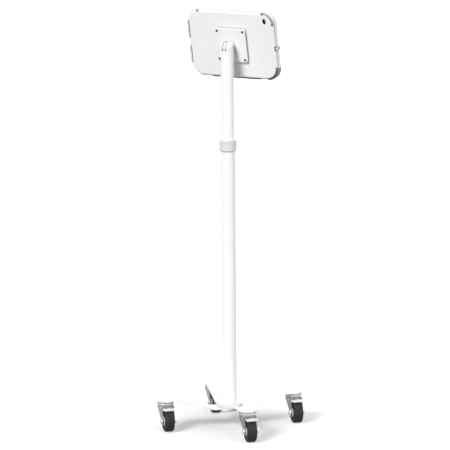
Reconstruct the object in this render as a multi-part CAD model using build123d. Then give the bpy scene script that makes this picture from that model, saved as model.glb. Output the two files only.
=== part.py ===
from build123d import *
from math import asin, atan2, cos, degrees, radians, sin, sqrt
import os

os.makedirs("parts", exist_ok=True)

# A tablet cart in its own frame: +Z up, floor at z = 0, pole axis on x = y = 0, user at -Y.

# Clearances
run_fit = 0.05
tube_fit = 0.1
bolt_fit = 0.2
pass_gap = 0.4

# Casters: swivel axes on a square, wheels trailing behind them
swivel_spacing = 325.0
trail_heading = 135.0
wheel_d = 75.0
crown_room = 25.5
tyre_w = 32.0
tread_round = 6.0
tyre_seat_d = 46.0
rim_w = 26.0
hub_disc_d = 31.0
hub_disc_stand = 1.5
trail = 38.0
axle_d = 8.0
axle_sleeve_wall = 2.0
axle_head_af = 15.0
axle_head_h = 6.0
leg_t = 2.5
wheel_side_gap = 3.5
leg_foot_r = 13.0
leg_shoulder = 4.0
leg_front_s = -25.0
leg_back_s = 40.0
fork_top_t = 3.0
crown_cut = 6.0
fork_skirt = 14.0
race_d = 58.0
race_h = 8.0
top_race_d = 53.0
top_race_h = 4.0
kingpin_d = 12.0
kingpin_head_d = 21.0
kingpin_head_h = 3.0
stud_engage = 4.0
pedal_t = 2.0
pedal_reach = 40.0
pedal_pin_s = 20.0
pedal_pin_d = 5.0
pedal_drop = 5.5
pedal_lip = 7.5
pedal_slot_w = 9.0
pedal_slot_l = 17.0
pedal_slot_off = 10.0

# Base: bent steel cross with a flat hub
steel_t = 5.0
arm_w = 66.0
arm_rise = 39.0
hub_rim = 5.0
ramp_from = 52.0
tip_flat = 29.8
bend_r = 90.0
hub_bolt_d = 12.0
hub_washer_d = 38.0
hub_washer_t = 3.0
hub_bolt_af = 19.0
hub_bolt_head_h = 7.5
flange_rim = 19.6
flange_h = 14.0
flange_round = 5.0
flange_foot_round = 0.8

# Pole: two round tubes that telescope
lower_d = 50.8
lower_wall = 2.0
lower_top_z = 985.0
tube_gap = 1.2
upper_wall = 2.0
upper_inside = 385.0
plug_h = 30.0
bush_flange_h = 10.0
bush_spigot_h = 25.0
collar_wall = 4.6
collar_cover = 23.0
collar_h = 39.0
collar_top_t = 4.0
collar_round = 3.0
sleeve_reach = 60.0
sleeve_cone_h = 11.0
sleeve_slit = 2.0

# Tilt head: a round tongue in a slotted dome
pivot_rise = 332.0
tilt_rest = 11.0
head_h = 27.0
head_spigot_h = 25.0
slot_w = 12.2
cheek_gap = 0.6
slot_over = 1.3
slot_flare = 2.5
tongue_in = 2.2
tongue_neck_h = 14.0
tilt_pin_d = 8.0
foot_d = 30.0
foot_t = 2.2
turn_washer_d = 28.0
turn_washer_t = 1.0
turn_bolt_d = 8.0
turn_bolt_head_d = 16.0
turn_bolt_head_h = 3.5
turn_bolt_grip = 9.0

# Mounting plate: a shallow square pan, screwed on at 100 x 100
plate_room = 4.5
pan_margin = 9.0
pan_depth = 9.5
pan_stand = 2.5
pan_wall = 2.0
pan_corner = 8.0
vesa = 100.0
vesa_screw_d = 4.0
vesa_head_d = 8.0
vesa_head_h = 2.4
vesa_boss_d = 9.0
vesa_boss_h = 5.0

# Tablet case: rear shell and hinged front frame
side_room = 9.0
end_room = 4.0
shell_corner = 40.0
shell_wall = 2.0
shell_side = 10.0
shell_round = 8.0
lip_inset = 2.0
lip_gap = 0.6
frame_over_l = 4.0
frame_over_h = 3.0
corner_over = 2.0
frame_wall = 3.0
bezel_t = 2.2
rim_room = 2.4
frame_round = 3.0
bezel_cover_l = 13.0
bezel_cover_h = 10.0
window_corner = 6.0
split_gap = 0.4
guard_leg = 44.0
guard_t = 1.2
guard_recess = 0.8
guard_back = 1.8
guard_front = 4.0
guard_wrap = 6.0
guard_slot_l = 6.0
guard_notch_l = 10.0
guard_slot_h = 7.0
lens_in = 19.0
lens_down = 21.0
lens_hole_w = 13.0
lens_hole_h = 19.0

# Tablet and its pads
tablet_l = 306.0
tablet_h = 220.0
tablet_corner = 17.0
tablet_t = 6.4
tablet_edge = 1.5
glass_t = 0.8
glass_inset = 2.0
lens_d = 9.0
lens_stand = 1.0
pad_l = 40.0
pad_h = 26.0
pad_t = 10.2
rim_pad_w = 5.0
rim_pad_in = 1.0

# Frame hinges on the +X side, push lock on the -X side
hinge_pin_d = 3.0
knuckle_r = 3.4
hinge_stand = 2.8
hinge_back = 3.0
hinge_first = 14.0
hinge_end = 3.0
leaf_t = 1.5
leaf_reach = 18.0
lock_v = -7.0
lock_d = 9.0
lock_tip_d = 5.0
lock_tip_gap = 0.8
lock_travel = 3.2
lock_plate_h = 21.0
lock_plate_w = 11.5
lock_plate_t = 1.5
keyhole_l = 5.0
keyhole_w = 1.0
keyhole_depth = 2.0
tab_w = 8.2
tab_l = 7.6
notch_gap = 3.8

BOTTOM = (Align.CENTER, Align.CENTER, Align.MIN)

# Places worked out from the sizes above
half_spacing = swivel_spacing / 2
reach = half_spacing * sqrt(2)
ramp_run = reach - ramp_from - tip_flat
caster_height = wheel_d + crown_room
hub_under_z = caster_height - arm_rise
hub_top_z = hub_under_z + steel_t
flange_top_z = hub_top_z + flange_h
lower_bore_d = lower_d - 2 * lower_wall
upper_d = lower_bore_d - 2 * tube_gap
upper_bore_d = upper_d - 2 * upper_wall
upper_foot_z = lower_top_z - upper_inside
flange_d = lower_d + 2 * flange_rim
hub_d = flange_d + 2 * hub_rim
collar_d = lower_d + 2 * collar_wall
collar_foot_z = lower_top_z - collar_cover
collar_top_z = collar_foot_z + collar_h
sleeve_foot_z = lower_top_z - sleeve_reach
pivot_z = lower_top_z + pivot_rise
slot_r = upper_d / 2 + slot_over
tongue_r = upper_d / 2 - tongue_in
plate_w = upper_d / 2 + plate_room
pan_size = vesa + 2 * pan_margin
wheel_r = wheel_d / 2
leg_in = tyre_w / 2 + wheel_side_gap
leg_out = leg_in + leg_t
race_foot_z = caster_height - top_race_h - pass_gap - race_h
fork_under_z = race_foot_z - fork_top_t
pedal_pin_z = fork_under_z - pedal_drop
shell_l = tablet_l + 2 * (side_room + shell_wall + lip_inset)
shell_h = tablet_h + 2 * (end_room + shell_wall + lip_inset)
frame_l = shell_l + 2 * frame_over_l
frame_h = shell_h + 2 * frame_over_h
frame_corner = shell_corner + corner_over
window_l = tablet_l - 2 * bezel_cover_l
window_h = tablet_h - 2 * bezel_cover_h
rim_pad_l = window_l / 3
lens_u = lens_in - tablet_l / 2
lens_v = tablet_h / 2 - lens_down
hinge_u = shell_l / 2 + hinge_stand
hinge_l = frame_h / 2 - frame_corner - hinge_end - hinge_first
shell_w = plate_w + pan_depth
split_w = shell_w + shell_side
frame_back_w = split_w + split_gap
hinge_w = shell_w + hinge_back
tablet_w = shell_w + shell_wall + pad_t
glass_w = tablet_w + tablet_t
bezel_w = glass_w + glass_t + rim_room
front_w = bezel_w + bezel_t
lip_w = bezel_w - lip_gap
lock_w = (frame_back_w + front_w) / 2
tilt_frame = Plane(
    origin=(0, 0, pivot_z),
    x_dir=(1, 0, 0),
    z_dir=(0, -cos(radians(tilt_rest)), sin(radians(tilt_rest))),
)


def rod(radius, low, high):
    """Cylinder about Z between two heights."""
    return Pos(0, 0, low) * Cylinder(radius, high - low, align=BOTTOM)


def pipe(outer, bore, low, high):
    """Tube about Z between two heights, from its two radii."""
    return rod(outer, low, high) - rod(bore, low - 1, high + 1)


def hexagon(across_flats, low, high):
    """Hexagonal prism about Z between two heights."""
    outline = RegularPolygon(across_flats / 2, 6, major_radius=False)
    return Pos(0, 0, low) * extrude(outline, high - low)


def turned(*points):
    """Solid of revolution about Z from (radius, height) points."""
    outline = Plane.XZ * make_face(Polyline(*points, close=True))
    return revolve(outline, Axis.Z)


def drum(radius, low, high, foot_round, top_round, chords):
    """Cylinder about Z whose foot and top edges are rounded off in a few chords each."""
    points = [(0, low)]
    for step in range(chords + 1):
        angle = radians(90 * step / chords)
        points.append((radius - foot_round * (1 - sin(angle)), low + foot_round * (1 - cos(angle))))
    for step in range(chords + 1):
        angle = radians(90 * step / chords)
        points.append((radius - top_round * (1 - cos(angle)), high - top_round * (1 - sin(angle))))
    return turned(*points, (0, high))


def slab(length, height, corner, low, high):
    """Rounded rectangular slab between two depths."""
    return Pos(0, 0, low) * extrude(RectangleRounded(length, height, corner), high - low)


def on_head(shape):
    """Places a piece drawn on the tilt frame: x across, y up the screen, z towards the user."""
    return tilt_frame.location * shape


# Base


def bent_edge(z, first_bend, second_bend):
    """One long edge of an arm in side view: flat hub, ramp and flat tip."""
    rise = caster_height - hub_under_z
    centres = sqrt(ramp_run ** 2 + (rise - 2 * bend_r) ** 2)
    angle = degrees(atan2(rise - 2 * bend_r, ramp_run) + asin(2 * bend_r / centres))
    flat = Line((0, z), (ramp_from, z))
    up = JernArc(flat @ 1, (1, 0), first_bend, angle)
    ramp = PolarLine(up @ 1, sqrt(centres ** 2 - 4 * bend_r ** 2), direction=up % 1)
    down = JernArc(ramp @ 1, ramp % 1, second_bend, -angle)
    tip = Line(down @ 1, (reach + arm_w, (down @ 1).Y))
    return [flat, up, ramp, down, tip]


def cross_arm():
    """Bent plate along +X, cut to a straight arm with a round tip."""
    under = bent_edge(hub_under_z, bend_r + steel_t / 2, bend_r - steel_t / 2)
    top = bent_edge(hub_top_z, bend_r - steel_t / 2, bend_r + steel_t / 2)
    ends = [Line(under[-1] @ 1, top[-1] @ 1), Line(under[0] @ 0, top[0] @ 0)]
    side_view = Plane.XZ * make_face(Curve() + under + top + ends)
    plate = extrude(side_view, arm_w, both=True)
    plan = Pos(reach / 2, 0) * Rectangle(reach, arm_w) + Pos(reach, 0) * Circle(arm_w / 2)
    return plate & extrude(plan, 2 * caster_height)


def base_cross():
    """Steel cross with a bolt hole in its hub and a stud bore under each tip."""
    cross = rod(hub_d / 2, hub_under_z, hub_top_z)
    for turn in range(4):
        cross += Rot(0, 0, 45 + 90 * turn) * cross_arm()
    cross -= rod(hub_bolt_d / 2 + bolt_fit, hub_under_z - 1, hub_top_z + 1)
    for x, y in swivel_places():
        cross -= Pos(x, y) * rod(kingpin_d / 2, caster_height - 1, caster_height + stud_engage)
    return cross


def pole_flange():
    """Round cover over the foot of the pole."""
    body = drum(flange_d / 2, hub_top_z, flange_top_z, flange_foot_round, flange_round, 3)
    return body - rod(lower_d / 2 + tube_fit, hub_top_z - 1, flange_top_z + 1)


def foot_plug():
    """Threaded steel plug welded in the foot of the lower tube."""
    return pipe(lower_bore_d / 2 - tube_fit, hub_bolt_d / 2 + run_fit, hub_top_z, hub_top_z + plug_h)


def foot_washer():
    """Wide washer under the hub."""
    return pipe(hub_washer_d / 2, hub_bolt_d / 2 + bolt_fit, hub_under_z - hub_washer_t, hub_under_z)


def foot_bolt():
    """Hexagon bolt up through the hub into the foot plug."""
    seat = hub_under_z - hub_washer_t
    return hexagon(hub_bolt_af, seat - hub_bolt_head_h, seat) + rod(hub_bolt_d / 2, seat, hub_top_z + plug_h)


def lower_tube():
    """Fixed outer tube of the pole."""
    return pipe(lower_d / 2, lower_bore_d / 2, hub_top_z, lower_top_z)


# Casters, drawn with the swivel axis on Z and the wheel trailing towards +X


def swivel_places():
    """Swivel axes: a at +X +Y, then counter-clockwise to d at +X -Y."""
    h = half_spacing
    return [(h, h), (-h, h), (-h, -h), (h, -h)]


def at_axle(shape):
    """Turns a piece drawn about Z onto the wheel's axle."""
    return Pos(trail, 0, wheel_r) * Rot(90, 0, 0) * shape


def caster_stud():
    """Top race with its king pin: threaded up into the arm, headed under the fork."""
    race = caster_height - top_race_h
    pin = rod(kingpin_d / 2, fork_under_z - 1, caster_height + stud_engage)
    head = rod(kingpin_head_d / 2, fork_under_z - pass_gap - kingpin_head_h, fork_under_z - pass_gap)
    neck = rod(kingpin_d / 2, fork_under_z - pass_gap, fork_under_z)
    return rod(top_race_d / 2, race, caster_height) + pin + head + neck


def leg_outline():
    """Side view of a fork leg: wide at the crown, drawn in to a round foot at the axle."""
    foot = Pos(trail, wheel_r) * Circle(leg_foot_r)
    crown_z = race_foot_z
    front = (leg_front_s, crown_z - fork_skirt)
    back = (leg_back_s, crown_z - fork_skirt)
    web = make_face(Polyline(
        (leg_front_s, crown_z), front, (trail - leg_foot_r, wheel_r + leg_shoulder),
        (trail + leg_foot_r, wheel_r + leg_shoulder), back, (leg_back_s, crown_z), close=True))
    return web + foot


def caster_fork():
    """Pressed fork: lower race, crown plate and two tapered legs, drilled for axle and pedal pin."""
    leg = Plane.XZ * leg_outline()
    legs = extrude(leg, leg_out, both=True) - extrude(leg, leg_in, both=True)
    crown_l = leg_back_s - crown_cut - leg_front_s
    crown = Pos(leg_front_s + crown_l / 2, 0, fork_under_z) * Box(crown_l, 2 * leg_out, fork_top_t, align=BOTTOM)
    race = drum(race_d / 2, race_foot_z, race_foot_z + race_h, race_h / 4, race_h / 16, 1)
    fork = legs + crown + race
    fork -= rod(kingpin_d / 2 + run_fit, fork_under_z - 1, caster_height)
    fork -= at_axle(rod(axle_d / 2 + run_fit, -2 * leg_out, 2 * leg_out))
    pin_hole = rod(pedal_pin_d / 2, -2 * leg_out, 2 * leg_out)
    return fork - Pos(pedal_pin_s, 0, pedal_pin_z) * Rot(90, 0, 0) * pin_hole


def caster_pins():
    """Axle bolt with its nut and spacer sleeve, and the pedal's rivet."""
    bolt = hexagon(axle_head_af, leg_out, leg_out + axle_head_h)
    bolt += rod(axle_d / 2, -leg_out - axle_head_h - 1.5, leg_out)
    nut = hexagon(axle_head_af, -leg_out - axle_head_h, -leg_out)
    nut -= rod(axle_d / 2 + run_fit, -leg_out - axle_head_h - 1, -leg_out + 1)
    sleeve = pipe(axle_d / 2 + axle_sleeve_wall, axle_d / 2 + run_fit, -leg_in, leg_in)
    rivet = rod(pedal_pin_d / 2, -leg_out, leg_out)
    for side in (-1, 1):
        rivet += Pos(0, 0, side * (leg_out + 0.75)) * Cylinder(pedal_pin_d * 0.85, 1.5)
    rivet = Pos(pedal_pin_s, 0, pedal_pin_z) * Rot(90, 0, 0) * rivet
    return Compound([at_axle(bolt), at_axle(nut), at_axle(sleeve), rivet])


def brake_pedal():
    """Pressed pedal on the rivet: flat tread with a slot, lip bent down over the tyre."""
    width = 2 * (leg_in - pass_gap)
    eye_r = pedal_pin_d / 2 + run_fit + 1.5
    eye = Rot(90, 0, 0) * Cylinder(eye_r, width)
    tread_z = eye_r - pedal_t
    tread = Pos(pedal_reach / 2, 0, tread_z) * Box(pedal_reach, width, pedal_t, align=BOTTOM)
    lip = Pos(pedal_reach - pedal_t / 2, 0, tread_z + pedal_t) * Box(
        pedal_t, width, pedal_lip, align=(Align.CENTER, Align.CENTER, Align.MAX))
    pedal = tread + lip
    rim = pedal.edges().filter_by(Axis.Y).sort_by(Axis.X)[-2:].sort_by(Axis.Z)[-1]
    pedal = fillet(rim, pedal_t * 0.9) + eye
    slot = Box(pedal_slot_l, pedal_slot_w, 4 * pedal_t)
    pedal -= Pos(pedal_reach / 2 + pedal_t, -pedal_slot_off, tread_z) * slot
    pedal -= Rot(90, 0, 0) * Cylinder(pedal_pin_d / 2 + run_fit, 2 * width)
    return Pos(pedal_pin_s, 0, pedal_pin_z) * pedal


def tyre():
    """Solid rubber tyre with rounded shoulders, lapped over the rim down to the hub disc."""
    half = tyre_w / 2
    body = drum(wheel_r, -half, half, tread_round, tread_round, 2)
    body -= rod(tyre_seat_d / 2, -rim_w / 2, rim_w / 2)
    return at_axle(body - rod(hub_disc_d / 2, -half - 1, half + 1))


def wheel_hub():
    """Moulded hub: rim under the tyre, and a round disc standing out on each side."""
    disc = tyre_w / 2 + hub_disc_stand
    body = rod(hub_disc_d / 2, -disc, disc)
    body = chamfer(body.edges().filter_by(GeomType.CIRCLE), 1.0)
    body += rod(tyre_seat_d / 2, -rim_w / 2, rim_w / 2)
    bore = axle_d / 2 + axle_sleeve_wall + run_fit
    return at_axle(body - rod(bore, -disc - 1, disc + 1))


# Pole top


def collar_nut():
    """Twist collar round the joint of the two tubes."""
    body = drum(collar_d / 2, collar_foot_z, collar_top_z, collar_round, collar_round, 3)
    body -= rod(lower_d / 2 + tube_fit, collar_foot_z - 1, collar_top_z - collar_top_t)
    return body - rod(upper_d / 2 + pass_gap, collar_foot_z, collar_top_z + 1)


def clamp_sleeve():
    """Split sleeve that grips the upper tube, with a cone pressed by the collar."""
    bore = upper_d / 2 + run_fit
    outer = lower_bore_d / 2 - tube_fit
    rim = lower_top_z + pass_gap
    top = rim + sleeve_cone_h
    sleeve = turned((bore, sleeve_foot_z), (outer, sleeve_foot_z), (outer, rim),
                    (lower_d / 2 - pass_gap, rim), (outer, top), (bore, top))
    slit = Pos(0, lower_d / 2, (sleeve_foot_z + top) / 2) * Box(sleeve_slit, lower_d, top - sleeve_foot_z + 2)
    return sleeve - slit


def upper_tube():
    """Sliding inner tube of the pole."""
    return pipe(upper_d / 2, upper_bore_d / 2, upper_foot_z, pivot_z - head_h)


def guide_bush():
    """Plastic plug in the foot of the upper tube, running in the lower tube."""
    flange = rod(lower_bore_d / 2 - tube_fit, upper_foot_z - bush_flange_h, upper_foot_z)
    return flange + rod(upper_bore_d / 2 - run_fit, upper_foot_z, upper_foot_z + bush_spigot_h)


# Tilt head


def slot_mouth():
    """Ring with a V section that widens the slot towards the outside of the dome."""
    bottom = slot_w / 2
    top = bottom + slot_flare
    low = upper_d / 2 - slot_flare
    high = upper_d / 2 + 0.5
    outline = Plane.XZ * make_face(Polyline(
        (low, bottom), (low, -bottom), (high, -top), (high, top), close=True))
    return revolve(outline, Axis.Z)


def tilt_head():
    """Domed top of the pole, slotted for the tongue and drilled for the tilt pin."""
    r = upper_d / 2
    head = rod(r, pivot_z - head_h, pivot_z) + Pos(0, 0, pivot_z) * Sphere(r)
    slot = Pos(0, 0, pivot_z) * Rot(0, 90, 0) * (Cylinder(slot_r, slot_w) + slot_mouth())
    head += rod(upper_bore_d / 2 - run_fit, pivot_z - head_h - head_spigot_h, pivot_z - head_h)
    pin_hole = Pos(0, 0, pivot_z) * Rot(0, 90, 0) * Cylinder(tilt_pin_d / 2, 3 * r)
    return head - slot - pin_hole


def tilt_pin():
    """Pin across the head, flush in both cheeks."""
    length = 2 * sqrt((upper_d / 2) ** 2 - (tilt_pin_d / 2) ** 2)
    return Pos(0, 0, pivot_z) * Rot(0, 90, 0) * Cylinder(tilt_pin_d / 2, length)


def tilt_tongue():
    """Round tongue in the head's slot, with a neck and a round foot for the plate."""
    thick = slot_w - 2 * cheek_gap
    foot_w = plate_w - turn_washer_t
    tongue = Rot(0, 90, 0) * Cylinder(tongue_r, thick)
    tongue += Pos(0, 0, foot_w / 2) * Box(thick, tongue_neck_h, foot_w)
    tongue += rod(foot_d / 2, foot_w - foot_t, foot_w)
    tongue -= Rot(0, 90, 0) * Cylinder(tilt_pin_d / 2 + run_fit, 2 * thick)
    tongue -= rod(turn_bolt_d / 2, foot_w - turn_bolt_grip, foot_w + 1)
    return on_head(tongue)


def turn_bolt():
    """Shoulder bolt that the plate turns on, its head inside the pan."""
    head_w = plate_w + pan_wall + turn_washer_t + tube_fit
    bolt = rod(turn_bolt_d / 2, plate_w - turn_washer_t - turn_bolt_grip, head_w)
    return on_head(bolt + rod(turn_bolt_head_d / 2, head_w, head_w + turn_bolt_head_h))


def turn_washers():
    """Friction washers either side of the pan's floor."""
    bore = turn_bolt_d / 2 + bolt_fit
    outside = pipe(turn_washer_d / 2, bore, plate_w - turn_washer_t, plate_w - run_fit)
    inner_w = plate_w + pan_wall + tube_fit
    inside = pipe(turn_washer_d / 2, bore, inner_w, inner_w + turn_washer_t)
    return on_head(Compound([outside, inside]))


def vesa_places():
    """Centres of the four plate screws."""
    h = vesa / 2
    return [(-h, -h), (h, -h), (h, h), (-h, h)]


def vesa_plate():
    """Square pan with a centre hole, stood off the shell by its four screw bosses."""
    rim_w = shell_w - pan_stand
    pan = slab(pan_size, pan_size, pan_corner, plate_w, rim_w)
    back = pan.faces().sort_by(Axis.Z)[0].edges()
    pan = chamfer(back, pan_wall / 2)
    inside = pan_size - 2 * pan_wall
    pan -= slab(inside, inside, pan_corner - pan_wall, plate_w + pan_wall, rim_w + 1)
    for x, y in vesa_places():
        pan += Pos(x, y) * rod(vesa_boss_d / 2, plate_w + pan_wall, shell_w)
        pan -= Pos(x, y) * rod(vesa_screw_d / 2 + bolt_fit, plate_w - 1, shell_w + 1)
    return on_head(pan - rod(turn_bolt_d / 2 + run_fit, plate_w - 1, plate_w + pan_wall + 1))


def vesa_screws():
    """Four pan-head screws through the plate into the rear shell."""
    screws = []
    for x, y in vesa_places():
        head = rod(vesa_head_d / 2, plate_w - vesa_head_h, plate_w)
        head = chamfer(head.edges().sort_by(Axis.Z)[0], vesa_head_h / 3)
        socket = rod(vesa_head_d * 0.16, plate_w - vesa_head_h - 1, plate_w - vesa_head_h * 0.4)
        shank = rod(vesa_screw_d / 2, plate_w, shell_w + shell_wall + vesa_boss_h - 0.5)
        screws.append(on_head(Pos(x, y) * (head - socket + shank)))
    return Compound(screws)


# Tablet case


def shell_form(depth):
    """Outer form of the rear shell with its rounded back edge, drawn in by a depth."""
    form = slab(shell_l - 2 * depth, shell_h - 2 * depth, shell_corner - depth, shell_w + depth, split_w)
    return fillet(form.faces().sort_by(Axis.Z)[0].edges(), shell_round - depth)


def shell_guard_form(side):
    """Corner stretch, above or below, of a skin round the shell's back edge."""
    inner = slab(shell_l - 2 * guard_wrap, shell_h - 2 * guard_wrap, shell_corner - guard_wrap,
                 shell_w - 1, split_w)
    skin = shell_form(0) - shell_form(guard_t) - inner
    return corner_stretch(skin, side)


def shell_guard(side):
    """Corner guard let into the shell's rounded edge."""
    return on_head(shell_guard_form(side) - guard_slots())


def rear_shell():
    """Shallow tray: rounded back edge, nesting lip, screw bosses, lens hole and lock notch."""
    tray = shell_form(0)
    inset = shell_wall + lip_inset
    lip = slab(shell_l - 2 * lip_inset, shell_h - 2 * lip_inset, shell_corner - lip_inset,
               split_w - shell_wall, lip_w)
    hollow = slab(shell_l - 2 * inset, shell_h - 2 * inset, shell_corner - inset,
                  shell_w + shell_wall, lip_w + 1)
    hollow = chamfer(hollow.faces().sort_by(Axis.Z)[0].edges(), (shell_round - shell_wall) * 2 / 3)
    tray = tray + lip - hollow
    for x, y in vesa_places():
        tray += Pos(x, y) * rod(vesa_boss_d / 2, shell_w + shell_wall, shell_w + shell_wall + vesa_boss_h)
        tray -= Pos(x, y) * rod(vesa_screw_d / 2, shell_w - 1, shell_w + shell_wall + vesa_boss_h + 1)
    lens = Pos(lens_u, lens_v, shell_w - 1) * extrude(
        Rot(0, 0, 90) * SlotOverall(lens_hole_h, lens_hole_w), shell_wall + 2)
    notch_h = tab_w + 2 * notch_gap
    notch_l = tab_l + split_gap
    notch = Pos(-shell_l / 2, lock_v, split_w - notch_l) * Box(3 * inset, notch_h, notch_l + 1, align=BOTTOM)
    keeper = Pos(-shell_l / 2, lock_v, lock_w) * Rot(0, 90, 0) * Cylinder(
        lock_tip_d / 2 + pass_gap, 4 * inset)
    tray -= shell_guard_form(1) + shell_guard_form(-1)
    return on_head(tray - lens - notch - keeper - guard_slots())


def guard_slots():
    """Small openings through the shell's rounded edge, two above and two where the guards end."""
    slots = Part()
    for side in (-1, 1):
        above = Pos(side * (frame_l / 2 - guard_leg), shell_h / 2, shell_w)
        beside = Pos(-shell_l / 2, side * (frame_h / 2 - guard_leg), shell_w)
        slots += above * Box(guard_notch_l, 2 * guard_slot_h, 2 * guard_slot_h)
        slots += beside * Box(2 * guard_slot_h, guard_slot_l, 2 * guard_slot_h)
    return slots


def corner_stretch(ring, side):
    """What lies at the upper or lower corner of a ring round the case, on the lock's side."""
    return ring & Pos(-frame_l / 2, side * frame_h / 2) * Box(2 * guard_leg, 2 * guard_leg, 4 * front_w)


def guard_band(side, start, end, low, high):
    """Corner stretch, above or below, of the band between two insets from the frame's outline."""
    band = slab(frame_l - 2 * start, frame_h - 2 * start, frame_corner - start, low, high)
    band -= slab(frame_l - 2 * end, frame_h - 2 * end, frame_corner - end, low - 1, high + 1)
    return corner_stretch(band, side)


def corner_guard(side):
    """Corner guard in the frame's recess, reaching back over the shell's side."""
    return on_head(guard_band(
        side, guard_recess, guard_recess + guard_t, shell_w + guard_back, front_w - guard_front))


def front_frame():
    """Hinged frame: side band recessed for the guards, bezel with its window, and lock tab."""
    outer = slab(frame_l, frame_h, frame_corner, frame_back_w, front_w)
    outer = fillet(outer.faces().sort_by(Axis.Z)[-1].edges(), frame_round)
    inner_l = frame_l - 2 * frame_wall
    inner_h = frame_h - 2 * frame_wall
    frame = outer - slab(inner_l, inner_h, frame_corner - frame_wall, frame_back_w - 1, bezel_w)
    frame -= slab(window_l, window_h, window_corner, bezel_w - 1, front_w + 1)
    for side in (-1, 1):
        frame -= guard_band(side, -1, guard_recess + guard_t, frame_back_w - 1, front_w - guard_front)
    tab = Pos(frame_wall / 2 - frame_l / 2, lock_v, split_w - tab_l) * Box(
        frame_wall, tab_w, tab_l + split_gap + 1, align=BOTTOM)
    bore = Pos(-frame_l / 2, lock_v, lock_w) * Rot(0, 90, 0) * Cylinder(lock_d / 2 + run_fit, 4 * frame_wall)
    return on_head(frame + tab - bore)


def hinge_piece(first, last, leaf):
    """Knuckle round the hinge pin from one height to another, with its leaf."""
    height = last - first
    knuckle = Rot(-90, 0, 0) * rod(knuckle_r, 0, height)
    body = Pos(hinge_u, first, hinge_w) * knuckle + Pos(0, first, 0) * leaf
    hole = Pos(hinge_u, first - 1, hinge_w) * Rot(-90, 0, 0) * rod(hinge_pin_d / 2 + run_fit, 0, height + 2)
    return on_head(body - hole)


def hinge_spans():
    """Heights of each hinge: foot, middle and top."""
    spans = []
    for low in (hinge_first, -hinge_first - hinge_l):
        spans.append((low, low + hinge_l / 2, low + hinge_l))
    return spans


def shell_hinges():
    """Lower knuckles, with leaves on the shell's side."""
    side = shell_l / 2
    leaf = Pos(side, 0, hinge_w) * Box(
        leaf_t, hinge_l / 2 - pass_gap / 2, split_w - hinge_w, align=(Align.MIN, Align.MIN, Align.MIN))
    return Compound([hinge_piece(low, mid - pass_gap / 2, leaf) for low, mid, top in hinge_spans()])


def frame_hinges():
    """Upper knuckles, with leaves that reach forward onto the frame's side."""
    side = frame_l / 2
    leaf = Pos(side, 0, hinge_w) * Box(
        leaf_t, hinge_l / 2 - pass_gap / 2, leaf_reach, align=(Align.MIN, Align.MIN, Align.MIN))
    return Compound([hinge_piece(mid + pass_gap / 2, top, leaf) for low, mid, top in hinge_spans()])


def hinge_pins():
    """Pins through both knuckles of each hinge."""
    pin = Rot(-90, 0, 0) * rod(hinge_pin_d / 2, 0, hinge_l)
    return Compound([on_head(Pos(hinge_u, low, hinge_w) * pin) for low, mid, top in hinge_spans()])


def lock_plate():
    """Escutcheon on the frame's side round the lock."""
    plate = Pos(-frame_l / 2, lock_v, lock_w) * Box(
        lock_plate_t, lock_plate_h, lock_plate_w, align=(Align.MAX, Align.CENTER, Align.CENTER))
    plate = chamfer(plate.faces().sort_by(Axis.X)[0].edges(), lock_plate_t / 3)
    bore = Pos(-frame_l / 2, lock_v, lock_w) * Rot(0, 90, 0) * Cylinder(
        lock_d / 2 + run_fit, 4 * lock_plate_t)
    return on_head(plate - bore)


def lock_plunger():
    """Push lock: keyed barrel whose tip goes into the shell's lip when pressed in."""
    lip_u = shell_l / 2 - lip_inset
    face_u = frame_l / 2 + lock_plate_t + lock_travel
    shoulder_u = lip_u + lock_travel + pass_gap
    tip_u = lip_u + lock_tip_gap
    barrel = rod(lock_d / 2, shoulder_u, face_u) + rod(lock_tip_d / 2, tip_u, face_u)
    barrel -= Pos(0, 0, face_u) * Box(keyhole_l, keyhole_w, 2 * keyhole_depth)
    return on_head(Pos(0, lock_v, lock_w) * Rot(0, -90, 0) * barrel)


# Tablet


def tablet_body():
    """Plain slate with softened edges."""
    body = slab(tablet_l, tablet_h, tablet_corner, tablet_w, glass_w)
    return on_head(fillet(body.faces().sort_by(Axis.Z)[0].edges(), tablet_edge))


def tablet_glass():
    """Front glass."""
    return on_head(slab(tablet_l - 2 * glass_inset, tablet_h - 2 * glass_inset,
                        tablet_corner - glass_inset, glass_w, glass_w + glass_t))


def tablet_lens():
    """Camera lens behind the shell's hole."""
    return on_head(Pos(lens_u, lens_v) * rod(lens_d / 2, tablet_w - lens_stand, tablet_w))


def shell_pads():
    """Foam blocks that hold the tablet off the back of the shell."""
    pads = []
    for x in (-1, 1):
        for y in (-1, 1):
            block = Pos(x * tablet_l / 4, y * (tablet_h / 2 - pad_h), tablet_w - pad_t) * Box(
                pad_l, pad_h, pad_t, align=BOTTOM)
            pads.append(on_head(block))
    return Compound(pads)


def rim_pads():
    """Foam strips behind the bezel that press on the edge of the glass."""
    strips = []
    for side in (-1, 1):
        centre = side * (window_h / 2 + rim_pad_w / 2 + rim_pad_in)
        thick = bezel_w - glass_w - glass_t - pass_gap
        strip = Pos(0, centre, bezel_w - thick) * Box(rim_pad_l, rim_pad_w, thick, align=BOTTOM)
        strips.append(on_head(strip))
    return Compound(strips)


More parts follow.
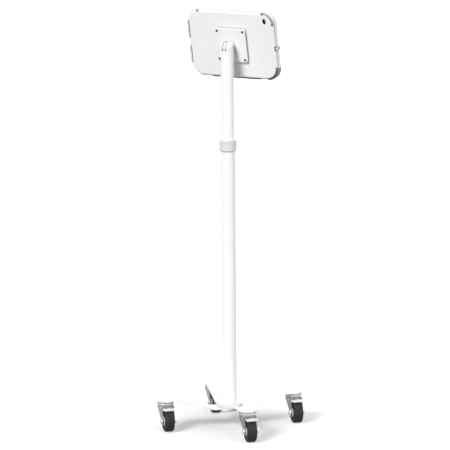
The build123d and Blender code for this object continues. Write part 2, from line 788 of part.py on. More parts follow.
pieces = {
    "base_cross": base_cross(),
    "pole_flange": pole_flange(),
    "foot_plug": foot_plug(),
    "foot_washer": foot_washer(),
    "foot_bolt": foot_bolt(),
    "lower_tube": lower_tube(),
    "collar_nut": collar_nut(),
    "clamp_sleeve": clamp_sleeve(),
    "upper_tube": upper_tube(),
    "guide_bush": guide_bush(),
    "tilt_head": tilt_head(),
    "tilt_pin": tilt_pin(),
    "tilt_tongue": tilt_tongue(),
    "turn_bolt": turn_bolt(),
    "turn_washers": turn_washers(),
    "vesa_plate": vesa_plate(),
    "vesa_screws": vesa_screws(),
    "rear_shell": rear_shell(),
    "front_frame": front_frame(),
    "upper_guard": corner_guard(1),
    "lower_guard": corner_guard(-1),
    "upper_shell_guard": shell_guard(1),
    "lower_shell_guard": shell_guard(-1),
    "shell_hinges": shell_hinges(),
    "frame_hinges": frame_hinges(),
    "hinge_pins": hinge_pins(),
    "lock_plate": lock_plate(),
    "lock_plunger": lock_plunger(),
    "tablet_body": tablet_body(),
    "tablet_glass": tablet_glass(),
    "tablet_lens": tablet_lens(),
    "shell_pads": shell_pads(),
    "rim_pads": rim_pads(),
}

caster_pieces = {
    "caster_stud": caster_stud(),
    "caster_fork": caster_fork(),
    "caster_pins": caster_pins(),
    "brake_pedal": brake_pedal(),
    "tyre": tyre(),
    "wheel_hub": wheel_hub(),
}
for letter, (x, y) in zip("abcd", swivel_places()):
    for name, piece in caster_pieces.items():
        pieces[f"{name}_{letter}"] = Pos(x, y) * Rot(0, 0, trail_heading) * piece

for name, piece in pieces.items():
    export_step(piece, f"parts/{name}.step")
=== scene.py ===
import math

import bmesh
import bpy
from mathutils import Matrix, Vector


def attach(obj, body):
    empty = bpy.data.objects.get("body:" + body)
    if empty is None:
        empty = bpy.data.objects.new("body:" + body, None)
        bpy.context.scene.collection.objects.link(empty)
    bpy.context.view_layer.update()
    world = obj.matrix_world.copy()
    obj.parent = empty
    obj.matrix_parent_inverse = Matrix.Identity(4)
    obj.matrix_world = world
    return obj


# A tablet cart: a bent steel cross on four braked casters, a telescoping pole, and a white case
# that tilts and turns on a slotted dome. The pieces follow in the order in which it is put together.
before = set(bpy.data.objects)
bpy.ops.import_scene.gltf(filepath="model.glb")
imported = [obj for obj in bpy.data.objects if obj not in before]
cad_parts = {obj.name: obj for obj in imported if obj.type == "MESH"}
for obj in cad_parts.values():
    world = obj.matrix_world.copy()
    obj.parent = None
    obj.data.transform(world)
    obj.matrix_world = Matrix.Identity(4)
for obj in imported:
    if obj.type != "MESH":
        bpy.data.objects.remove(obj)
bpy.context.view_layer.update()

# Base cross: one piece of 5 mm steel plate, laser cut to a cross with round tips and bent four times.
# It is powder coated white, which leaves a fine orange peel and softens the cut edges.


def add_node(tree, kind, inputs=None, **settings):
    """Adds a shader node with its settings, and sets or links its inputs."""
    made = tree.nodes.new(kind)
    for name, value in settings.items():
        setattr(made, name, value)
    for name, value in (inputs or {}).items():
        if isinstance(value, bpy.types.NodeSocket):
            tree.links.new(value, made.inputs[name])
        else:
            made.inputs[name].default_value = value
    return made


def new_effect(name, inputs, outputs):
    """Starts a shader node group with named inputs and outputs."""
    group = bpy.data.node_groups.new(name, "ShaderNodeTree")
    for label, kind, value in inputs:
        socket = group.interface.new_socket(label, in_out="INPUT", socket_type="NodeSocket" + kind)
        socket.default_value = value
    for label, kind in outputs:
        group.interface.new_socket(label, in_out="OUTPUT", socket_type="NodeSocket" + kind)
    return group, group.nodes.new("NodeGroupInput").outputs, group.nodes.new("NodeGroupOutput")


def hand_out(tree, given, **results):
    """Links what an effect worked out to its outputs of the same names."""
    for label, socket in results.items():
        tree.links.new(socket, given.inputs[label])


def object_place(tree):
    """The place of a point on the object, in metres."""
    return add_node(tree, "ShaderNodeTexCoord").outputs["Object"]


def mottle(tree, place, per_metre, detail, **others):
    """Soft random spots, so many to a metre."""
    return add_node(tree, "ShaderNodeTexNoise", {
        "Vector": place, "Scale": per_metre, "Detail": detail, **others}).outputs[0]


def spread(tree, value, low=0.0, high=1.0):
    """Maps a mottle, which stays near its middle, to the range from low to high."""
    return add_node(tree, "ShaderNodeMapRange", {
        "Value": value, "From Min": 0.3, "From Max": 0.7, "To Min": low, "To Max": high}).outputs[0]


def mix_colours(tree, share, first, second, **settings):
    """Mixes two colours, by the second one's share."""
    return add_node(
        tree, "ShaderNodeMix", {0: share, 6: first, 7: second}, data_type="RGBA", **settings).outputs[2]


def darker(tree, colour, share):
    """A colour at a share of its brightness."""
    return add_node(tree, "ShaderNodeHueSaturation", {"Value": share, "Color": colour}).outputs[0]


# What each surface effect gives to a material.
skin = [("Colour", "Color"), ("Roughness", "Float"), ("Height", "Float")]
coat_effect, taken, given = new_effect(
    "Sprayed coat",
    [("Colour", "Color", (0.8, 0.8, 0.8, 1)), ("Peel per metre", "Float", 420.0),
     ("Smoothest", "Float", 0.3), ("Roughest", "Float", 0.42)], skin)
place = object_place(coat_effect)
peel = mottle(coat_effect, place, taken["Peel per metre"], 2.0, Roughness=0.4)
cloud = mottle(coat_effect, place, 9.0, 3.0)
rubs = mottle(coat_effect, place, 55.0, 5.0)
deeper = darker(coat_effect, taken["Colour"], 0.975)
hand_out(
    coat_effect, given,
    Colour=mix_colours(coat_effect, spread(coat_effect, cloud), taken["Colour"], deeper),
    Roughness=spread(coat_effect, rubs, taken["Smoothest"], taken["Roughest"]),
    Height=peel)


def new_finish(name, effect, values, bump_depth, metallic=0.0, edge=0.0, corners=0.0, **constants):
    """Makes a material whose colour, roughness and relief come from one effect.

    Its edges look rounded by the given radius. Its colour darkens in its corners as painted shade,
    up to the given distance from them.
    """
    material = bpy.data.materials.new(name)
    material.use_nodes = True
    tree = material.node_tree
    tree.nodes.clear()
    source = add_node(tree, "ShaderNodeGroup", node_tree=effect)
    for label, value in values.items():
        source.inputs[label].default_value = value
    relief = add_node(tree, "ShaderNodeBump", {
        "Height": source.outputs["Height"], "Distance": bump_depth, "Strength": 1.0})
    if edge:
        rounded = add_node(tree, "ShaderNodeBevel", {"Radius": edge}, samples=4)
        tree.links.new(rounded.outputs[0], relief.inputs["Normal"])
    colour = source.outputs["Colour"]
    if corners:
        # Painted shade: the colour darkens where nearby parts hem the surface in.
        corner_occlusion = add_node(tree, "ShaderNodeAmbientOcclusion", {"Distance": corners}, samples=8)
        corner_shade_factor = add_node(tree, "ShaderNodeMapRange", {
            "Value": corner_occlusion.outputs["AO"], "From Min": 0.25, "From Max": 0.75, "To Min": 0.3, "To Max": 1.0})
        colour = mix_colours(tree, 1.0, colour, corner_shade_factor.outputs[0], blend_type="MULTIPLY")
    shader = add_node(tree, "ShaderNodeBsdfPrincipled", {
        "Base Color": colour, "Roughness": source.outputs["Roughness"],
        "Normal": relief.outputs[0], "Metallic": metallic})
    for label, value in constants.items():
        shader.inputs[label.replace("_", " ")].default_value = value
    add_node(tree, "ShaderNodeOutputMaterial", {"Surface": shader.outputs[0]})
    return material


def dress(material, *names):
    """Gives CAD nodes their material."""
    for name in names:
        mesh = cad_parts[name].data
        mesh.materials.clear()
        mesh.materials.append(material)


powder = {"Peel per metre": 800.0, "Smoothest": 0.32, "Roughest": 0.42}
base_coat = new_finish(
    "White powder coat of the base", coat_effect, {"Colour": (0.78, 0.78, 0.785, 1), **powder},
    bump_depth=0.00002, edge=0.0006, corners=0.012)
dress(base_coat, "base_cross")

# Pole: two steel tubes, 50.8 and 44.4 mm, the upper sliding in the lower. Both are drawn, polished
# and painted white, so they are smoother and glossier than the base.
white_gloss = new_finish(
    "White gloss paint", coat_effect,
    {"Colour": (0.86, 0.86, 0.865, 1), "Peel per metre": 450.0, "Smoothest": 0.2, "Roughest": 0.28},
    bump_depth=0.000006, edge=0.0004)
dress(white_gloss, "lower_tube", "upper_tube")

# Flange cover: a white moulded ring that slides down the tube and hides its bolted foot.
# Its skin has the fine grain of its mould.
moulding_effect, taken, given = new_effect(
    "Moulded skin",
    [("Colour", "Color", (0.5, 0.5, 0.5, 1)), ("Grain per metre", "Float", 1800.0),
     ("Smoothest", "Float", 0.35), ("Roughest", "Float", 0.5)], skin)
place = object_place(moulding_effect)
grain = add_node(moulding_effect, "ShaderNodeTexVoronoi", {
    "Vector": place, "Scale": taken["Grain per metre"], "Randomness": 1.0}, feature="SMOOTH_F1")
flow = mottle(moulding_effect, place, 22.0, 2.0)
scuffs = mottle(moulding_effect, place, 140.0, 4.0)
deeper = darker(moulding_effect, taken["Colour"], 0.94)
hand_out(
    moulding_effect, given,
    Colour=mix_colours(moulding_effect, spread(moulding_effect, flow), taken["Colour"], deeper),
    Roughness=spread(moulding_effect, scuffs, taken["Smoothest"], taken["Roughest"]),
    Height=grain.outputs["Distance"])

white_plastic = new_finish(
    "White moulded plastic", moulding_effect,
    {"Colour": (0.62, 0.62, 0.625, 1), "Grain per metre": 900.0, "Smoothest": 0.28, "Roughest": 0.4},
    bump_depth=0.00002, edge=0.003)
dress(white_plastic, "pole_flange")

# Foot: a threaded plug welded in the lower tube, and a bolt with a wide washer under the hub.
# They are plain zinc-plated steel, whose plating is cloudy and finely brushed.


def work_out(tree, operation, first, second=0.0):
    """One step of arithmetic in a shader."""
    return add_node(tree, "ShaderNodeMath", {0: first, 1: second}, operation=operation).outputs[0]


plating_effect, taken, given = new_effect(
    "Zinc plating",
    [("Colour", "Color", (0.5, 0.5, 0.5, 1)), ("Dull colour", "Color", (0.4, 0.4, 0.4, 1)),
     ("Ground colour", "Color", (0.5, 0.5, 0.5, 1)), ("Ground above", "Float", 9.0),
     ("Smoothest", "Float", 0.28), ("Roughest", "Float", 0.48)], skin)
place = object_place(plating_effect)
cloud = mottle(plating_effect, place, 85.0, 5.0, Distortion=0.6)
along = add_node(plating_effect, "ShaderNodeMapping", {"Vector": place, "Scale": (1.0, 1.0, 0.06)}).outputs[0]
brushing = mottle(plating_effect, along, 1500.0, 2.0)
height = add_node(plating_effect, "ShaderNodeSeparateXYZ", {"Vector": place}).outputs["Z"]
shade = mix_colours(plating_effect, spread(plating_effect, cloud), taken["Colour"], taken["Dull colour"])
# Painted light: above the given height the colour turns to the lighter lit top colour.
lit_top = work_out(plating_effect, "GREATER_THAN", height, taken["Ground above"])
hand_out(
    plating_effect, given,
    Colour=mix_colours(plating_effect, lit_top, shade, taken["Ground colour"]),
    Roughness=spread(plating_effect, cloud, taken["Smoothest"], taken["Roughest"]),
    Height=brushing)

zinc_steel = new_finish(
    "Zinc-plated steel", plating_effect,
    {"Colour": (0.66, 0.67, 0.68, 1), "Dull colour": (0.55, 0.56, 0.57, 1),
     "Smoothest": 0.28, "Roughest": 0.45},
    bump_depth=0.00001, metallic=0.9, edge=0.0004)
dress(zinc_steel, "foot_plug", "foot_washer", "foot_bolt")

# Casters: each has a plated top race on a king pin, a pressed fork, an axle bolt with a hexagon nut and a
# brake pedal.
# The fork is painted darker below its bend as shade under the arms, and lighter above it as light on its
# race;
# the pedal is of brighter steel, which the foot keeps clean.
# The fork's dark colour is painted shade on its legs; its lighter top is painted light on the race and crown.
fork_steel = new_finish(
    "Pressed fork steel", plating_effect,
    {"Colour": (0.26, 0.264, 0.27, 1), "Dull colour": (0.19, 0.194, 0.2, 1),
     "Ground colour": (0.5, 0.505, 0.51, 1), "Ground above": 0.088, "Smoothest": 0.3, "Roughest": 0.48},
    bump_depth=0.00001, metallic=0.85, edge=0.0008)
pedal_steel = new_finish(
    "Bright pedal steel", plating_effect,
    {"Colour": (0.72, 0.72, 0.73, 1), "Dull colour": (0.62, 0.625, 0.63, 1),
     "Smoothest": 0.25, "Roughest": 0.42},
    bump_depth=0.00001, metallic=0.6, edge=0.0005)
caster_letters = "abcd"
for letter in caster_letters:
    dress(fork_steel, f"caster_fork_{letter}", f"caster_stud_{letter}")
    dress(zinc_steel, f"caster_pins_{letter}")
    dress(pedal_steel, f"brake_pedal_{letter}")

# Wheels: a white nylon hub with a solid black rubber tyre moulded round it. The tyre has a mould line round
# its tread, which is dusty, and two rings in each wall. Plain washers sit under the axle's heads.
caster_spacing = 0.325
trail = 0.038
axle_height = 0.0375
tread_from = 0.0345
diagonal = math.sqrt(0.5)
wheel_places, taken, given = new_effect(
    "Wheel places",
    [("Wheel spacing", "Float", caster_spacing), ("Trail", "Float", trail),
     ("Axle height", "Float", axle_height)],
    [("From axle", "Float"), ("From middle", "Float")])
place = add_node(wheel_places, "ShaderNodeSeparateXYZ", {"Vector": object_place(wheel_places)}).outputs
half_way = work_out(wheel_places, "MULTIPLY", taken["Wheel spacing"], 0.5)
across = []
for axis in "XY":
    centre = work_out(wheel_places, "MULTIPLY", work_out(wheel_places, "SIGN", place[axis]), half_way)
    across.append(work_out(wheel_places, "SUBTRACT", place[axis], centre))
along = work_out(wheel_places, "MULTIPLY", work_out(wheel_places, "SUBTRACT", across[1], across[0]), diagonal)
sideways = work_out(wheel_places, "MULTIPLY", work_out(wheel_places, "ADD", across[0], across[1]), diagonal)
back = work_out(wheel_places, "SUBTRACT", along, taken["Trail"])
rise = work_out(wheel_places, "SUBTRACT", place["Z"], taken["Axle height"])


def slant(tree, first, second):
    """The straight distance over two offsets that are square to each other."""
    squares = [work_out(tree, "POWER", offset, 2.0) for offset in (first, second)]
    return work_out(tree, "SQRT", work_out(tree, "ADD", *squares))


hand_out(wheel_places, given, **{
    "From axle": slant(wheel_places, back, rise),
    "From middle": work_out(wheel_places, "ABSOLUTE", sideways)})


def ring_mask(tree, distance, at, half_width):
    """One on a narrow ring at a distance, fading to nought at its sides."""
    off = work_out(tree, "ABSOLUTE", work_out(tree, "SUBTRACT", distance, at))
    return add_node(tree, "ShaderNodeMapRange", {
        "Value": off, "From Min": 0.0, "From Max": half_width, "To Min": 1.0, "To Max": 0.0},
        interpolation_type="SMOOTHSTEP").outputs[0]


rubber_effect, taken, given = new_effect(
    "Rubber skin",
    [("Colour", "Color", (0.02, 0.02, 0.02, 1)), ("Bloom colour", "Color", (0.05, 0.05, 0.05, 1)),
     ("Dust colour", "Color", (0.02, 0.02, 0.02, 1)), ("Tread from", "Float", 1.0),
     ("Marks", "Float", 0.0)], skin)
place = object_place(rubber_effect)
pores = mottle(rubber_effect, place, 2200.0, 2.0)
bloom = mottle(rubber_effect, place, 60.0, 6.0)
dust = mottle(rubber_effect, place, 260.0, 5.0)
wheel = add_node(rubber_effect, "ShaderNodeGroup", node_tree=wheel_places).outputs
worn = add_node(rubber_effect, "ShaderNodeMapRange", {
    "Value": wheel["From axle"], "From Min": taken["Tread from"],
    "From Max": work_out(rubber_effect, "ADD", taken["Tread from"], 0.0015)}).outputs[0]
dusty = work_out(rubber_effect, "MULTIPLY", worn, spread(rubber_effect, dust, 0.0, 0.8))
mould_line = ring_mask(rubber_effect, wheel["From middle"], at=0.0, half_width=0.0005)
marks = work_out(rubber_effect, "MULTIPLY", worn, mould_line)
for wall_ring, half_width in ((0.0295, 0.0007), (0.0205, 0.0006)):
    groove = ring_mask(rubber_effect, wheel["From axle"], wall_ring, half_width)
    marks = work_out(rubber_effect, "SUBTRACT", marks, groove)
raised = work_out(rubber_effect, "MULTIPLY", marks, taken["Marks"])
shade = mix_colours(rubber_effect, spread(rubber_effect, bloom), taken["Colour"], taken["Bloom colour"])
hand_out(
    rubber_effect, given,
    Colour=mix_colours(rubber_effect, dusty, shade, taken["Dust colour"]),
    Roughness=spread(rubber_effect, bloom, 0.62, 0.78),
    Height=work_out(rubber_effect, "ADD", work_out(rubber_effect, "MULTIPLY", pores, 0.1), raised))

tyre_rubber = new_finish(
    "Black tyre rubber", rubber_effect,
    {"Colour": (0.007, 0.007, 0.0073, 1), "Bloom colour": (0.013, 0.013, 0.0135, 1),
     "Dust colour": (0.026, 0.0255, 0.024, 1), "Tread from": tread_from, "Marks": 1.0},
    bump_depth=0.0003, edge=0.004, Specular_IOR_Level=0.28)
hub_nylon = new_finish(
    "White hub nylon", moulding_effect,
    {"Colour": (0.82, 0.82, 0.82, 1), "Grain per metre": 1400.0, "Smoothest": 0.3, "Roughest": 0.45},
    bump_depth=0.00002, edge=0.0006)
for letter in caster_letters:
    dress(tyre_rubber, f"tyre_{letter}")
    dress(hub_nylon, f"wheel_hub_{letter}")


def new_piece(name, rows, material, soft_edge, segments=2, closed=True, smooth=False):
    """A solid over rows of points, each row a ring, with its edges softened.

    The last row joins the first, or else a face fills each end row.
    """
    form = bmesh.new()
    rings = [[form.verts.new(point) for point in row] for row in rows]
    for near, far in zip(rings, rings[1:] + (rings[:1] if closed else [])):
        for index in range(len(near)):
            after = (index + 1) % len(near)
            form.faces.new((near[index], far[index], far[after], near[after]))
    if not closed:
        form.faces.new(rings[0])
        form.faces.new(rings[-1])
    for face in form.faces:
        face.smooth = smooth
    bmesh.ops.recalc_face_normals(form, faces=form.faces)
    mesh = bpy.data.meshes.new(name)
    form.to_mesh(mesh)
    form.free()
    mesh.materials.append(material)
    piece = bpy.data.objects.new(name, mesh)
    bpy.context.scene.collection.objects.link(piece)
    softened = piece.modifiers.new("soft edges", "BEVEL")
    softened.width = soft_edge
    softened.segments = segments
    return piece


def turned_ring(name, outline, centre, along, material, steps=48):
    """A ring turned from an outline of (radius, height) points, standing on a centre along a direction."""
    stand = Matrix.Translation(centre) @ Vector(along).to_track_quat("Z", "Y").to_matrix().to_4x4()
    turns = [2 * math.pi * step / steps for step in range(steps)]
    rows = [
        [stand @ Vector((r * math.cos(turn), r * math.sin(turn), h)) for r, h in outline] for turn in turns]
    return new_piece(name, rows, material, soft_edge=0.00015, smooth=True)


washer_outline = [(0.0042, 0.0), (0.0095, 0.0), (0.0095, 0.0009), (0.0088, 0.0012), (0.0042, 0.0012)]
fork_side = 0.022
for letter, (x_side, y_side) in zip(caster_letters, ((1, 1), (-1, 1), (-1, -1), (1, -1))):
    swivel = Vector((x_side * caster_spacing / 2, y_side * caster_spacing / 2, axle_height))
    axle = swivel + Vector((-diagonal, diagonal, 0)) * trail
    for end, outward in (("near", 1), ("far", -1)):
        sideways = Vector((diagonal, diagonal, 0)) * outward
        washer = turned_ring(
            f"axle_washer_{letter}_{end}", washer_outline, axle + sideways * fork_side, sideways, zinc_steel)
        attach(washer, f"fork_{letter}")

# Twist collar: light grey moulded plastic at the joint of the tubes. It presses the split sleeve
# inside it onto the upper tube; sleeve and guide bush are dark nylon.
collar_plastic = new_finish(
    "Light grey collar plastic", moulding_effect,
    {"Colour": (0.67, 0.67, 0.675, 1), "Grain per metre": 1200.0, "Smoothest": 0.3, "Roughest": 0.42},
    bump_depth=0.00002)
dark_nylon = new_finish(
    "Dark nylon", moulding_effect,
    {"Colour": (0.02, 0.02, 0.021, 1), "Grain per metre": 1600.0, "Smoothest": 0.35, "Roughest": 0.5},
    bump_depth=0.00002)
dress(collar_plastic, "collar_nut")
dress(dark_nylon, "clamp_sleeve", "guide_bush", "turn_washers")

# Tilt head: a machined steel dome and the tongue in its slot, both painted white, a plated tilt pin,
# and a turning bolt hidden in the plate's pan. A dark nylon friction disc on each side of the tongue
# holds the tilt; it reaches out to the dome's surface, so that its black is also painted shade in the slot.
pin_height = 1.317
head_paint = new_finish(
    "White paint of the head", coat_effect,
    {"Colour": (0.84, 0.84, 0.845, 1), "Peel per metre": 450.0, "Smoothest": 0.22, "Roughest": 0.3},
    bump_depth=0.000006, edge=0.0004, corners=0.006)
dress(head_paint, "tilt_head", "tilt_tongue")
dress(zinc_steel, "tilt_pin", "turn_bolt")
disc_outline = [(0.0043, 0.0), (0.0219, 0.0), (0.0219, 0.00046), (0.0043, 0.00046)]
tongue_side = 0.00557
for end, outward in (("near", 1), ("far", -1)):
    disc = turned_ring(
        f"friction_and_shade_disc_{end}", disc_outline, Vector((outward * tongue_side, 0.0, pin_height)),
        (outward, 0.0, 0.0), dark_nylon, steps=96)
    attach(disc, "mast")

# Mounting plate: a shallow pan of pressed steel, powder coated white, on four black screws.
# A black band fills the gap under its rim, as painted shade under the plate.
white_coat = new_finish(
    "White powder coat", coat_effect, {"Colour": (0.845, 0.845, 0.85, 1), **powder},
    bump_depth=0.00002, edge=0.0006, corners=0.014)
dress(white_coat, "vesa_plate")
lean = math.radians(11.0)


def on_case(across, up, out):
    """A place on the leaning case: across it, up its slope and outward from the pole, from the tilt pin."""
    return Vector((across, up * math.sin(lean) - out * math.cos(lean),
                   pin_height + up * math.cos(lean) + out * math.sin(lean)))


def edge_band(name, half_l, half_h, corner, width, near_out, far_out, material, corner_steps=12):
    """A flat strip that runs round a rectangle with round corners on the leaning case."""
    rows = []
    for quarter, (across, up) in enumerate(((1, 1), (-1, 1), (-1, -1), (1, -1))):
        for step in range(corner_steps + 1):
            turn = math.pi / 2 * (quarter + step / corner_steps)
            rows.append([
                on_case(across * (half_l - corner) + radius * math.cos(turn),
                        up * (half_h - corner) + radius * math.sin(turn), out)
                for radius, out in ((corner, near_out), (corner, far_out),
                                    (corner - width, far_out), (corner - width, near_out))])
    return new_piece(name, rows, material, soft_edge=0.0001)


# This black serves the tablet's real foam pads, and the bands and blocks that stand in as painted shade.
foam_and_painted_shade = new_finish(
    "Black foam and painted shade", rubber_effect,
    {"Colour": (0.012, 0.012, 0.012, 1), "Bloom colour": (0.02, 0.02, 0.02, 1)},
    bump_depth=0.0002)
# Painted shade: a black band under the plate's rim.
rim_shade_band = edge_band(
    "plate_rim_shade_band", half_l=0.0585, half_h=0.0585, corner=0.0075, width=0.004,
    near_out=0.03375, far_out=0.03615, material=foam_and_painted_shade)
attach(rim_shade_band, "case")
black_oxide = new_finish(
    "Black oxide steel", plating_effect,
    {"Colour": (0.085, 0.085, 0.09, 1), "Dull colour": (0.06, 0.06, 0.06, 1),
     "Smoothest": 0.35, "Roughest": 0.5},
    bump_depth=0.00001, metallic=0.6, edge=0.0003)
dress(black_oxide, "vesa_screws")

# Case: a pressed aluminium rear shell and a hinged front frame, both powder coated white.
# A thin black band in the joint between them is painted shade, a dark shadow line.
dress(white_coat, "rear_shell", "front_frame")
joint_shade_band = edge_band(
    "shell_joint_shade_band", half_l=0.1657, half_h=0.1177, corner=0.0397, width=0.0014,
    near_out=0.04622, far_out=0.04658, material=foam_and_painted_shade)
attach(joint_shade_band, "case")

# Hinges: two pairs of coated leaves whose knuckles turn on plated pins.
# The pins are riveted, so a flat round head stands at each end of a knuckle row.
# Painted shade: the hinges' coat is greyer than the case's, so that their outlines read dark as in shade.
hinge_shade_coat = new_finish(
    "Hinge coat greyed as painted shade", coat_effect, {"Colour": (0.7, 0.7, 0.705, 1), **powder},
    bump_depth=0.00002, edge=0.0005, corners=0.006)
dress(hinge_shade_coat, "shell_hinges", "frame_hinges")
dress(zinc_steel, "hinge_pins")
head_outline = [(0.0003, 0.0), (0.0023, 0.0), (0.0023, 0.0004), (0.0017, 0.0008), (0.0003, 0.001)]
pin_across, pin_out = 0.1688, 0.0392
row_end, row_start = 0.0761, 0.0139
for end, up, upward in (
        ("top", row_end, 1), ("upper", row_start, -1), ("lower", -row_start, 1), ("foot", -row_end, -1)):
    slope = on_case(0.0, upward, 0.0) - on_case(0.0, 0.0, 0.0)
    rivet = turned_ring(
        f"hinge_rivet_{end}", head_outline, on_case(pin_across, up, pin_out), slope, zinc_steel)
    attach(rivet, "case")

# Corner guards: moulded plastic caps on the lock's side, clipped over the frame and the shell.
# Their greys are painted shade: the upper corner's cap is light grey as light shade and the shell's cap there
# mid grey as a shadow line; the lower corner's two are dark grey, as deep shade under the overhang.
for name, colour, nodes in (
        ("Guard plastic in painted light shade", (0.74, 0.74, 0.745, 1), ["upper_guard"]),
        ("Guard plastic in painted shadow line", (0.36, 0.36, 0.365, 1), ["upper_shell_guard"]),
        ("Guard plastic in painted deep shade", (0.2, 0.2, 0.205, 1), ["lower_guard", "lower_shell_guard"])):
    shaded_guard_plastic = new_finish(
        name, moulding_effect,
        {"Colour": colour, "Grain per metre": 1200.0, "Smoothest": 0.35, "Roughest": 0.5},
        bump_depth=0.00002)
    dress(shaded_guard_plastic, *nodes)

# Push lock: a zinc-plated steel plate with a keyed barrel of satin nickel.
# Two black blocks fill the ends of the notch beside it, where the shell takes the catch, as painted shade
# inside the notch.
satin_nickel = new_finish(
    "Satin nickel", plating_effect,
    {"Colour": (0.4, 0.4, 0.395, 1), "Dull colour": (0.32, 0.32, 0.315, 1),
     "Smoothest": 0.24, "Roughest": 0.38},
    bump_depth=0.00001, metallic=0.85, edge=0.0004)
dress(zinc_steel, "lock_plate")
dress(satin_nickel, "lock_plunger")
notch_block_outline = [(-0.1612, 0.0396), (-0.1655, 0.0396), (-0.1659, 0.0402),
               (-0.1659, 0.0456), (-0.1655, 0.046), (-0.1612, 0.046)]
for end, ups in (("upper", (-0.0026, 0.0006)), ("lower", (-0.0146, -0.0114))):
    rows = [[on_case(across, up, out) for across, out in notch_block_outline] for up in ups]
    notch_shade_block = new_piece(f"notch_shade_block_{end}", rows, foam_and_painted_shade, soft_edge=0.0003, segments=3, closed=False)
    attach(notch_shade_block, "case")

# Lower strip: a black strip along the shell's lower edge, painted shade for the dark shadow line there.
# It is an extrusion whose ends taper into the edge.
shell_foot = -0.118
strip_outline = [(0.0, 0.043), (0.0034, 0.0432), (0.0044, 0.044),
                 (0.0044, 0.0455), (0.0036, 0.0462), (0.0, 0.0463)]
tapers = [(-0.102, 0.2), (-0.094, 0.8), (-0.085, 1.0), (0.085, 1.0), (0.094, 0.8), (0.102, 0.2)]
rows = [
    [on_case(across, shell_foot - deep * full, out) for deep, out in strip_outline]
    for across, full in tapers]
lower_shade_strip = new_piece("lower_edge_shade_band", rows, foam_and_painted_shade, soft_edge=0.0003, segments=3, closed=False)
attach(lower_shade_strip, "case")

# Tablet: a dark anodised slate with a glass front, held by black foam pads. Its display is off, with a
# camera above it, and the rim of its rear lens shows in the shell's hole.
slate_aluminium = new_finish(
    "Dark anodised aluminium", coat_effect,
    {"Colour": (0.11, 0.11, 0.115, 1), "Peel per metre": 2500.0, "Smoothest": 0.35, "Roughest": 0.45},
    bump_depth=0.000005, metallic=0.7, edge=0.001)
display_effect, taken, given = new_effect(
    "Display under glass",
    [("Border colour", "Color", (0.004, 0.004, 0.004, 1)),
     ("Display colour", "Color", (0.01, 0.011, 0.013, 1)),
     ("Camera colour", "Color", (0.05, 0.05, 0.06, 1)),
     ("Half length", "Float", 0.14), ("Half height", "Float", 0.1)], skin)
place = add_node(display_effect, "ShaderNodeSeparateXYZ", {"Vector": object_place(display_effect)}).outputs
risen = work_out(display_effect, "SUBTRACT", place["Z"], pin_height)
up_screen = work_out(display_effect, "ADD",
                     work_out(display_effect, "MULTIPLY", place["Y"], math.sin(lean)),
                     work_out(display_effect, "MULTIPLY", risen, math.cos(lean)))
within = []
for distance, limit in ((place["X"], "Half length"), (up_screen, "Half height")):
    off = work_out(display_effect, "ABSOLUTE", distance)
    within.append(work_out(display_effect, "LESS_THAN", off, taken[limit]))
eye_up = 0.0977
from_eye = slant(display_effect, place["X"], work_out(display_effect, "SUBTRACT", up_screen, eye_up))
eye = ring_mask(display_effect, from_eye, at=0.0012, half_width=0.0005)
smears = mottle(display_effect, object_place(display_effect), 14.0, 5.0, Distortion=1.5)
shade = mix_colours(
    display_effect, work_out(display_effect, "MULTIPLY", within[0], within[1]),
    taken["Border colour"], taken["Display colour"])
hand_out(
    display_effect, given,
    Colour=mix_colours(display_effect, eye, shade, taken["Camera colour"]),
    Roughness=spread(display_effect, smears, 0.03, 0.14),
    Height=smears)
screen_glass = new_finish(
    "Screen glass", display_effect,
    {"Border colour": (0.004, 0.004, 0.004, 1), "Display colour": (0.012, 0.013, 0.016, 1),
     "Camera colour": (0.05, 0.05, 0.06, 1), "Half length": 0.1335, "Half height": 0.0955},
    bump_depth=0.000001, Coat_Weight=0.5)
dress(slate_aluminium, "tablet_body")
dress(screen_glass, "tablet_glass", "tablet_lens")
dress(foam_and_painted_shade, "shell_pads", "rim_pads")
rim_outline = [(0.0046, 0.0), (0.0062, 0.0), (0.006, 0.0007), (0.0052, 0.0011), (0.0046, 0.0008)]
lens_across, lens_up, lens_out = -0.134, 0.089, 0.0484
backward = on_case(0.0, 0.0, -1.0) - on_case(0.0, 0.0, 0.0)
lens_rim = turned_ring(
    "lens_rim", rim_outline, on_case(lens_across, lens_up, lens_out), backward, zinc_steel)
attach(lens_rim, "case")

# Studio: a white floor that keeps the shadow, an even white surround, and broad soft lights. The strongest
# shines from the camera's side and above, and a level one lights the cart's front. The floor glows more
# away from the middle, so that far shadows fade as in a product photograph.
floor_half = 60.0
floor_mesh = bpy.data.meshes.new("floor")
floor_mesh.from_pydata(
    [(-floor_half, -floor_half, 0), (floor_half, -floor_half, 0), (floor_half, floor_half, 0),
     (-floor_half, floor_half, 0)], [], [(0, 1, 2, 3)])
floor = bpy.data.objects.new("floor", floor_mesh)
bpy.context.scene.collection.objects.link(floor)


def seen_directly(tree):
    """One for what the camera sees, also in a mirror or through glass."""
    ray = add_node(tree, "ShaderNodeLightPath").outputs
    mirrored = work_out(tree, "MAXIMUM", ray["Is Glossy Ray"], ray["Is Transmission Ray"])
    return work_out(tree, "MAXIMUM", ray["Is Camera Ray"], mirrored)


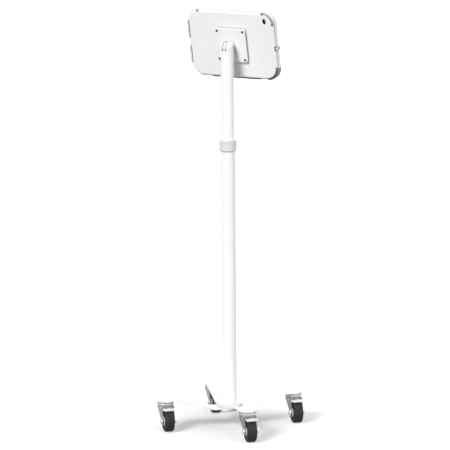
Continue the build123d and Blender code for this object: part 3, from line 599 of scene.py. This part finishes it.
floor_paint = bpy.data.materials.new("Studio floor")
floor_paint.use_nodes = True
tree = floor_paint.node_tree
tree.nodes.clear()
from_middle = add_node(tree, "ShaderNodeVectorMath", {0: object_place(tree)}, operation="LENGTH")
glow = add_node(tree, "ShaderNodeMapRange", {
    "Value": from_middle.outputs["Value"], "From Min": 0.08, "From Max": 0.42,
    "To Min": 0.22, "To Max": 0.56}).outputs[0]
matt = add_node(tree, "ShaderNodeBsdfDiffuse", {"Color": (0.6, 0.6, 0.6, 1)}).outputs[0]
lit = add_node(tree, "ShaderNodeEmission", {"Color": (1, 1, 1, 1), "Strength": glow}).outputs[0]
both = add_node(tree, "ShaderNodeAddShader", {0: matt, 1: lit}).outputs[0]
plain = add_node(tree, "ShaderNodeBsdfDiffuse", {"Color": (0.2, 0.2, 0.2, 1)}).outputs[0]
shown = add_node(tree, "ShaderNodeMixShader", {0: seen_directly(tree), 1: plain, 2: both}).outputs[0]
add_node(tree, "ShaderNodeOutputMaterial", {"Surface": shown})
floor_mesh.materials.append(floor_paint)

world = bpy.data.worlds.new("Studio surround")
bpy.context.scene.world = world
world.use_nodes = True
tree = world.node_tree
tree.nodes.clear()
strength = add_node(tree, "ShaderNodeMapRange", {
    "Value": seen_directly(tree), "To Min": 0.21, "To Max": 1.0}).outputs[0]
surround = add_node(tree, "ShaderNodeBackground", {"Color": (1, 1, 1, 1), "Strength": strength}).outputs[0]
add_node(tree, "ShaderNodeOutputWorld", {"Surface": surround})


def soft_sun(name, towards, strength, spread_deg):
    """A broad, even light that shines along a direction."""
    light = bpy.data.lights.new(name, "SUN")
    light.energy = strength
    light.angle = math.radians(spread_deg)
    lamp = bpy.data.objects.new(name, light)
    lamp.rotation_mode = "QUATERNION"
    lamp.rotation_quaternion = Vector(towards).to_track_quat("-Z", "Y")
    bpy.context.scene.collection.objects.link(lamp)


soft_sun("key", (-0.13, -0.8, -0.57), 3.35, 26)
soft_sun("side light", (0.75, -0.35, -0.4), 0.6, 30)
soft_sun("rim light", (0.9, 0.2, -0.3), 1.3, 40)
soft_sun("overhead light", (0.0, 0.0, -1.0), 0.2, 30)
soft_sun("front light", (-0.55, 0.85, -0.04), 1.7, 30)

# Camera: behind the cart and to its right, 12 m away with a long lens, as measured from the photograph.
# Its focal length is in pixels of the photograph, and it aims a little beside the pole, near mid height.
azimuth = math.radians(209.983)
elevation = math.radians(10.189)
roll = math.radians(-0.425)
distance = 12.193
aim_height = 0.703542
aim_aside = -0.011762
focal_px, photo_px, sensor_mm = 3547.38, 450, 36.0
away = Vector((
    math.sin(azimuth) * math.cos(elevation), -math.cos(azimuth) * math.cos(elevation), math.sin(elevation)))
side = Vector((math.cos(azimuth), math.sin(azimuth), 0.0))
upward = away.cross(side)
right = side * math.cos(roll) + upward * math.sin(roll)
top = upward * math.cos(roll) - side * math.sin(roll)
camera = bpy.data.objects.new("camera", bpy.data.cameras.new("camera"))
camera.data.sensor_width = sensor_mm
camera.data.lens = sensor_mm * focal_px / photo_px
camera.data.clip_end = 200.0
camera.matrix_world = Matrix((
    (right.x, top.x, away.x, 0), (right.y, top.y, away.y, 0), (right.z, top.z, away.z, 0), (0, 0, 0, 1)))
camera.location = Vector((0, 0, aim_height)) + side * aim_aside + away * distance
bpy.context.scene.collection.objects.link(camera)
bpy.context.scene.camera = camera
bpy.context.scene.view_settings.view_transform = "Standard"
